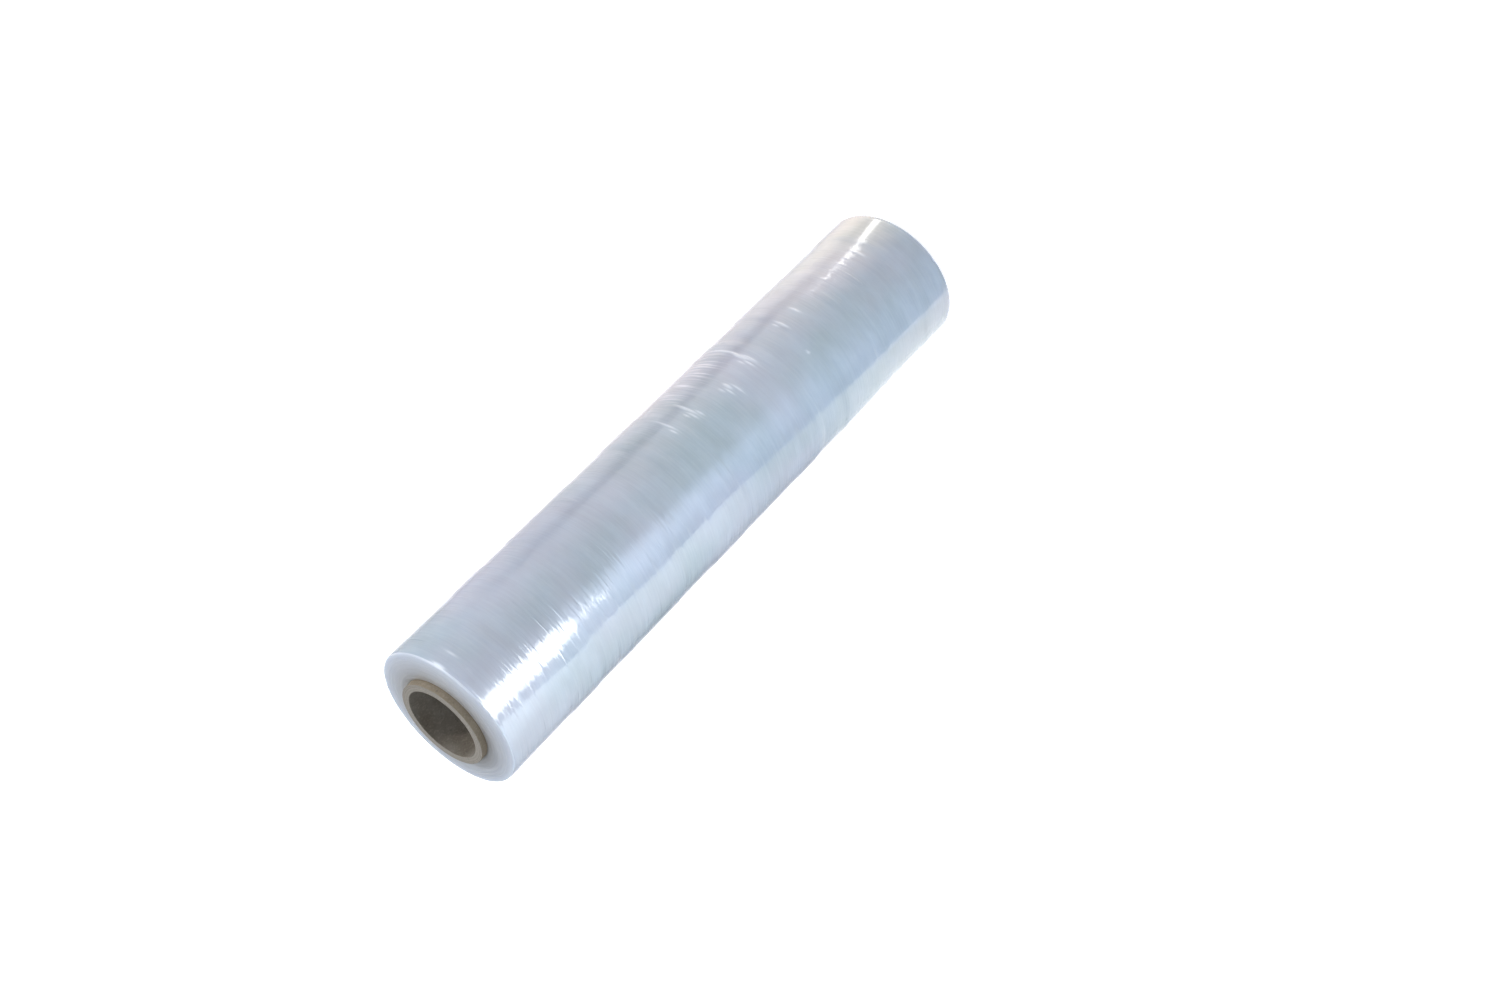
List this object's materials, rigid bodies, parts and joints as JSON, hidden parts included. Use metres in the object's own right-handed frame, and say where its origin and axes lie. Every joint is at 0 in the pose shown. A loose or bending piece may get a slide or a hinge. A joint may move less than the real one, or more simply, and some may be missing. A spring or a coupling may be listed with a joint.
{
  "type": "stretch wrap roll",
  "caption": "Roll of clear stretch wrap film wound on a paper core that stands out a little at both ends, for wrapping packs and pallets by hand.",
  "frame": {"origin": "middle of the core's lower end ring, on the surface that the roll stands on", "axes": "+Z along the roll, up; the film's cut end lies on the +Y side, away from the picture's view"},
  "size_m": [0.0992, 0.099, 0.46],
  "materials": {
    "core_paper": "matte grey-brown spiral-wound paper board",
    "wrap_film": "glossy, milky translucent where many turns lie together"
  },
  "bodies": {
    "root": {"paper_core": "core_paper", "film_winding": "wrap_film"}
  },
  "joints": []
}
